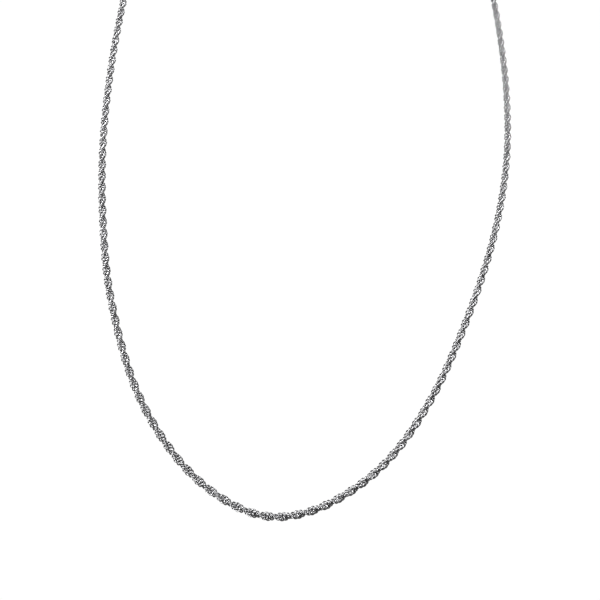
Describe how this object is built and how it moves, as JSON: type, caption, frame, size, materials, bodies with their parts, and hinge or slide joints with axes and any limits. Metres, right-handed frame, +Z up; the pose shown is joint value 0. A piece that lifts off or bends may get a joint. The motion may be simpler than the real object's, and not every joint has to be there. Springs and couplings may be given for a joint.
{
  "type": "rope chain necklace",
  "caption": "Open two-ply twisted rope-chain necklace in polished silver-coloured steel, with end caps, a lobster clasp on one end and a catch ring on the other.",
  "frame": {"origin": "middle of the footprint's box, on the surface the necklace lies on", "axes": "+X from the clasp's arm to the catch ring's arm, +Y from the bend towards the two ends, +Z up from the surface"},
  "size_m": [0.1408, 0.286, 0.0046],
  "materials": {
    "rope_steel": "polished",
    "cap_steel": "polished",
    "ring_steel": "polished",
    "clasp_steel": "polished",
    "spring_steel": "drawn wire"
  },
  "bodies": {
    "rope_01": {"rope_01": "rope_steel", "end_cap_left": "cap_steel"},
    "rope_02": {"rope_02": "rope_steel"},
    "rope_03": {"rope_03": "rope_steel"},
    "rope_04": {"rope_04": "rope_steel"},
    "rope_05": {"rope_05": "rope_steel"},
    "rope_06": {"rope_06": "rope_steel"},
    "rope_07": {"rope_07": "rope_steel"},
    "rope_08": {"rope_08": "rope_steel"},
    "rope_09": {"rope_09": "rope_steel"},
    "rope_10": {"rope_10": "rope_steel"},
    "rope_11": {"rope_11": "rope_steel"},
    "rope_12": {"rope_12": "rope_steel"},
    "rope_13": {"rope_13": "rope_steel"},
    "rope_14": {"rope_14": "rope_steel"},
    "rope_15": {"rope_15": "rope_steel"},
    "rope_16": {"rope_16": "rope_steel"},
    "rope_17": {"rope_17": "rope_steel"},
    "rope_18": {"rope_18": "rope_steel"},
    "rope_19": {"rope_19": "rope_steel"},
    "rope_20": {"rope_20": "rope_steel"},
    "rope_21": {"rope_21": "rope_steel"},
    "rope_22": {"rope_22": "rope_steel"},
    "rope_23": {"rope_23": "rope_steel"},
    "rope_24": {"rope_24": "rope_steel"},
    "rope_25": {"rope_25": "rope_steel"},
    "rope_26": {"rope_26": "rope_steel"},
    "rope_27": {"rope_27": "rope_steel"},
    "rope_28": {"rope_28": "rope_steel"},
    "rope_29": {"rope_29": "rope_steel"},
    "rope_30": {"rope_30": "rope_steel"},
    "rope_31": {"rope_31": "rope_steel"},
    "rope_32": {"rope_32": "rope_steel"},
    "rope_33": {"rope_33": "rope_steel"},
    "rope_34": {"rope_34": "rope_steel"},
    "rope_35": {"rope_35": "rope_steel"},
    "rope_36": {"rope_36": "rope_steel"},
    "rope_37": {"rope_37": "rope_steel"},
    "rope_38": {"rope_38": "rope_steel"},
    "rope_39": {"rope_39": "rope_steel"},
    "rope_40": {"rope_40": "rope_steel"},
    "rope_41": {"rope_41": "rope_steel"},
    "rope_42": {"rope_42": "rope_steel"},
    "rope_43": {"rope_43": "rope_steel"},
    "rope_44": {"rope_44": "rope_steel"},
    "rope_45": {"rope_45": "rope_steel", "end_cap_right": "cap_steel"},
    "jump_ring": {"jump_ring": "ring_steel"},
    "clasp": {"clasp_body": "clasp_steel", "clasp_pin": "clasp_steel", "clasp_spring": "spring_steel"},
    "clasp_lever": {"clasp_lever": "clasp_steel"},
    "catch_ring": {"catch_ring": "ring_steel"}
  },
  "joints": [
    {"name": "clasp_lever_press", "type": "hinge", "parent": "clasp", "child": "clasp_lever", "pos_m": [-0.05808, 0.13433, 0.0015], "axis": [0, 0, 1], "range_deg": [0, 18], "stiffness_Nm_per_rad": 0.01, "springref_deg": -17.19, "deforming": ["clasp_spring"]},
    {"name": "clasp_swivel", "type": "hinge", "parent": "jump_ring", "child": "clasp", "pos_m": [-0.05874, 0.13069, 0.0015], "axis": [0, 0, 1], "range_deg": [-60, 60]},
    {"name": "jump_ring_swing", "type": "hinge", "parent": "rope_01", "child": "jump_ring", "pos_m": [-0.05915, 0.12843, 0.0015], "axis": [0.9837, -0.1797, 0], "range_deg": [-60, 20]},
    {"name": "catch_ring_swing", "type": "hinge", "parent": "rope_45", "child": "catch_ring", "pos_m": [0.05614, 0.12749, 0.0015], "axis": [0.9833, 0.1822, 0], "range_deg": [-15, 75]},
    {"name": "rope_22_lift", "type": "hinge", "parent": "rope_23", "child": "rope_22", "pos_m": [-0.00957, -0.14162, 0.00125], "axis": [0.2199, 0.9755, 0], "range_deg": [-45, 45]},
    {"name": "rope_24_lift", "type": "hinge", "parent": "rope_23", "child": "rope_24", "pos_m": [0.0033, -0.14089, 0.00125], "axis": [0.3029, -0.953, 0], "range_deg": [-45, 45]},
    {"name": "rope_21_sway", "type": "hinge", "parent": "rope_22", "child": "rope_21", "pos_m": [-0.02145, -0.13637, 0.00125], "axis": [0, 0, 1], "range_deg": [-20, 20]},
    {"name": "rope_25_sway", "type": "hinge", "parent": "rope_24", "child": "rope_25", "pos_m": [0.01484, -0.13493, 0.00125], "axis": [0, 0, -1], "range_deg": [-20, 20]},
    {"name": "rope_20_lift", "type": "hinge", "parent": "rope_21", "child": "rope_20", "pos_m": [-0.0315, -0.12809, 0.00125], "axis": [-0.7202, -0.6938, 0], "range_deg": [-45, 45]},
    {"name": "rope_26_lift", "type": "hinge", "parent": "rope_25", "child": "rope_26", "pos_m": [0.02472, -0.12643, 0.00125], "axis": [-0.7189, 0.6951, 0], "range_deg": [-45, 45]},
    {"name": "rope_19_sway", "type": "hinge", "parent": "rope_20", "child": "rope_19", "pos_m": [-0.03974, -0.11799, 0.00125], "axis": [0, 0, -1], "range_deg": [-20, 20]},
    {"name": "rope_27_sway", "type": "hinge", "parent": "rope_26", "child": "rope_27", "pos_m": [0.03285, -0.11624, 0.00125], "axis": [0, 0, 1], "range_deg": [-20, 20]},
    {"name": "rope_18_lift", "type": "hinge", "parent": "rope_19", "child": "rope_18", "pos_m": [-0.04643, -0.10681, 0.00125], "axis": [0.8938, 0.4484, 0], "range_deg": [-45, 45]},
    {"name": "rope_28_lift", "type": "hinge", "parent": "rope_27", "child": "rope_28", "pos_m": [0.03943, -0.10498, 0.00125], "axis": [0.8855, -0.4645, 0], "range_deg": [-45, 45]},
    {"name": "rope_17_sway", "type": "hinge", "parent": "rope_18", "child": "rope_17", "pos_m": [-0.05165, -0.09485, 0.00125], "axis": [0, 0, 1], "range_deg": [-20, 20]},
    {"name": "rope_29_sway", "type": "hinge", "parent": "rope_28", "child": "rope_29", "pos_m": [0.04505, -0.0932, 0.00125], "axis": [0, 0, -1], "range_deg": [-20, 20]},
    {"name": "rope_16_lift", "type": "hinge", "parent": "rope_17", "child": "rope_16", "pos_m": [-0.05598, -0.08254, 0.00125], "axis": [-0.9514, -0.308, 0], "range_deg": [-45, 45]},
    {"name": "rope_30_lift", "type": "hinge", "parent": "rope_29", "child": "rope_30", "pos_m": [0.04982, -0.08106, 0.00125], "axis": [-0.939, 0.3438, 0], "range_deg": [-45, 45]},
    {"name": "rope_15_sway", "type": "hinge", "parent": "rope_16", "child": "rope_15", "pos_m": [-0.05954, -0.06999, 0.00125], "axis": [0, 0, -1], "range_deg": [-20, 20]},
    {"name": "rope_31_sway", "type": "hinge", "parent": "rope_30", "child": "rope_31", "pos_m": [0.05412, -0.06874, 0.00125], "axis": [0, 0, 1], "range_deg": [-20, 20]},
    {"name": "rope_14_lift", "type": "hinge", "parent": "rope_15", "child": "rope_14", "pos_m": [-0.06224, -0.05722, 0.00125], "axis": [0.9825, 0.1864, 0], "range_deg": [-45, 45]},
    {"name": "rope_32_lift", "type": "hinge", "parent": "rope_31", "child": "rope_32", "pos_m": [0.05809, -0.05631, 0.00125], "axis": [0.9576, -0.2879, 0], "range_deg": [-45, 45]},
    {"name": "rope_13_sway", "type": "hinge", "parent": "rope_14", "child": "rope_13", "pos_m": [-0.06453, -0.04438, 0.00125], "axis": [0, 0, 1], "range_deg": [-30, 30]},
    {"name": "rope_33_sway", "type": "hinge", "parent": "rope_32", "child": "rope_33", "pos_m": [0.06159, -0.04374, 0.00125], "axis": [0, 0, -1], "range_deg": [-30, 30]},
    {"name": "rope_12_lift", "type": "hinge", "parent": "rope_13", "child": "rope_12", "pos_m": [-0.06636, -0.03146, 0.00125], "axis": [-0.9927, -0.1203, 0], "range_deg": [-45, 45]},
    {"name": "rope_34_lift", "type": "hinge", "parent": "rope_33", "child": "rope_34", "pos_m": [0.06448, -0.03101, 0.00125], "axis": [-0.9805, 0.1965, 0], "range_deg": [-45, 45]},
    {"name": "rope_11_sway", "type": "hinge", "parent": "rope_12", "child": "rope_11", "pos_m": [-0.0677, -0.01848, 0.00125], "axis": [0, 0, -1], "range_deg": [-30, 30]},
    {"name": "rope_35_sway", "type": "hinge", "parent": "rope_34", "child": "rope_35", "pos_m": [0.06672, -0.01815, 0.00125], "axis": [0, 0, 1], "range_deg": [-30, 30]},
    {"name": "rope_10_lift", "type": "hinge", "parent": "rope_11", "child": "rope_10", "pos_m": [-0.06857, -0.00546, 0.00125], "axis": [0.9987, 0.0511, 0], "range_deg": [-45, 45]},
    {"name": "rope_36_lift", "type": "hinge", "parent": "rope_35", "child": "rope_36", "pos_m": [0.06825, -0.0052, 0.00125], "axis": [0.9962, -0.0865, 0], "range_deg": [-45, 45]},
    {"name": "rope_09_sway", "type": "hinge", "parent": "rope_10", "child": "rope_09", "pos_m": [-0.06908, 0.00758, 0.00125], "axis": [0, 0, 1], "range_deg": [-30, 30]},
    {"name": "rope_37_sway", "type": "hinge", "parent": "rope_36", "child": "rope_37", "pos_m": [0.06895, 0.00783, 0.00125], "axis": [0, 0, -1], "range_deg": [-30, 30]},
    {"name": "rope_08_lift", "type": "hinge", "parent": "rope_09", "child": "rope_08", "pos_m": [-0.06927, 0.02063, 0.00125], "axis": [-1, -0.0004, 0], "range_deg": [-45, 45]},
    {"name": "rope_38_lift", "type": "hinge", "parent": "rope_37", "child": "rope_38", "pos_m": [0.069, 0.02088, 0.00125], "axis": [-0.9999, -0.0112, 0], "range_deg": [-45, 45]},
    {"name": "rope_07_sway", "type": "hinge", "parent": "rope_08", "child": "rope_07", "pos_m": [-0.06914, 0.03368, 0.00125], "axis": [0, 0, -1], "range_deg": [-45, 45]},
    {"name": "rope_39_sway", "type": "hinge", "parent": "rope_38", "child": "rope_39", "pos_m": [0.06854, 0.03392, 0.00125], "axis": [0, 0, 1], "range_deg": [-45, 45]},
    {"name": "rope_06_lift", "type": "hinge", "parent": "rope_07", "child": "rope_06", "pos_m": [-0.06881, 0.04673, 0.00125], "axis": [0.9994, -0.0358, 0], "range_deg": [-45, 45]},
    {"name": "rope_40_lift", "type": "hinge", "parent": "rope_39", "child": "rope_40", "pos_m": [0.06761, 0.04694, 0.00125], "axis": [0.9965, 0.0832, 0], "range_deg": [-45, 45]},
    {"name": "rope_05_sway", "type": "hinge", "parent": "rope_06", "child": "rope_05", "pos_m": [-0.06816, 0.05976, 0.00125], "axis": [0, 0, 1], "range_deg": [-45, 45]},
    {"name": "rope_41_sway", "type": "hinge", "parent": "rope_40", "child": "rope_41", "pos_m": [0.06632, 0.05992, 0.00125], "axis": [0, 0, -1], "range_deg": [-45, 45]},
    {"name": "rope_04_lift", "type": "hinge", "parent": "rope_05", "child": "rope_04", "pos_m": [-0.06716, 0.07277, 0.00125], "axis": [-0.9959, 0.0904, 0], "range_deg": [-45, 45]},
    {"name": "rope_42_lift", "type": "hinge", "parent": "rope_41", "child": "rope_42", "pos_m": [0.06473, 0.07288, 0.00125], "axis": [-0.9919, -0.127, 0], "range_deg": [-45, 45]},
    {"name": "rope_03_sway", "type": "hinge", "parent": "rope_04", "child": "rope_03", "pos_m": [-0.06581, 0.08575, 0.00125], "axis": [0, 0, -1], "range_deg": [-45, 45]},
    {"name": "rope_43_sway", "type": "hinge", "parent": "rope_42", "child": "rope_43", "pos_m": [0.06303, 0.08582, 0.00125], "axis": [0, 0, 1], "range_deg": [-45, 45]},
    {"name": "rope_02_lift", "type": "hinge", "parent": "rope_03", "child": "rope_02", "pos_m": [-0.06412, 0.09869, 0.00125], "axis": [0.99, -0.1407, 0], "range_deg": [-45, 45]},
    {"name": "rope_44_lift", "type": "hinge", "parent": "rope_43", "child": "rope_44", "pos_m": [0.06116, 0.09873, 0.00125], "axis": [0.9885, 0.1512, 0], "range_deg": [-45, 45]},
    {"name": "rope_01_sway", "type": "hinge", "parent": "rope_02", "child": "rope_01", "pos_m": [-0.06215, 0.11159, 0.00132], "axis": [0, 0, 1], "range_deg": [-45, 45]},
    {"name": "rope_45_sway", "type": "hinge", "parent": "rope_44", "child": "rope_45", "pos_m": [0.05905, 0.11161, 0.00132], "axis": [0, 0, -1], "range_deg": [-45, 45]}
  ]
}
